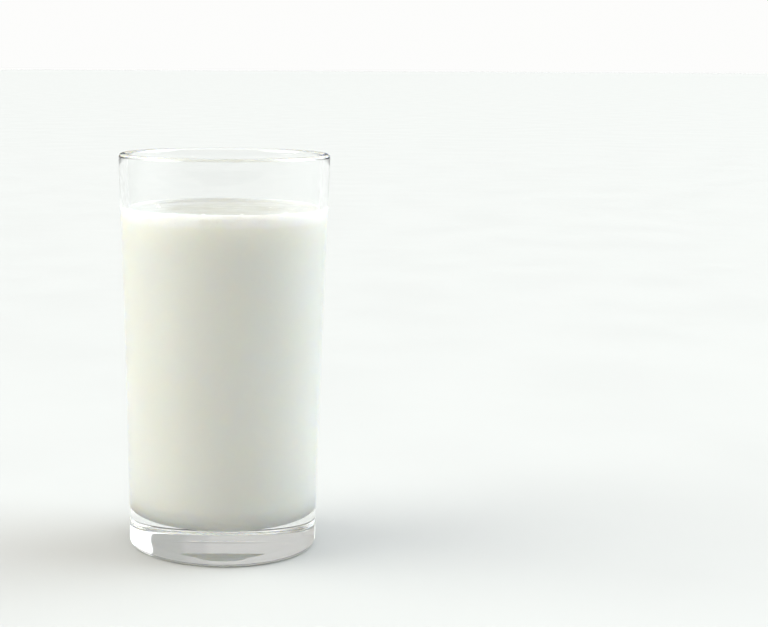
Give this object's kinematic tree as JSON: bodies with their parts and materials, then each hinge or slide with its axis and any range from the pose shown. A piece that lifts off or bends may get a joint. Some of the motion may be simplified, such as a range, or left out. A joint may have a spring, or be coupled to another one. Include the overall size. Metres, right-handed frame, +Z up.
{
  "type": "glass of milk",
  "caption": "Clear straight-sided tumbler with a heavy base, filled with milk to a little under its rim.",
  "frame": {"origin": "centre of the foot, on the surface the glass stands on", "axes": "+Z up along the glass's axis, through the open top; X and Y are alike, as the piece is round"},
  "size_m": [0.07, 0.07, 0.1322],
  "materials": {
    "glass": "clear, fire-polished",
    "milk": "opaque white liquid, wet and smooth"
  },
  "bodies": {
    "root": {"glass": "glass", "milk": "milk"}
  },
  "joints": []
}
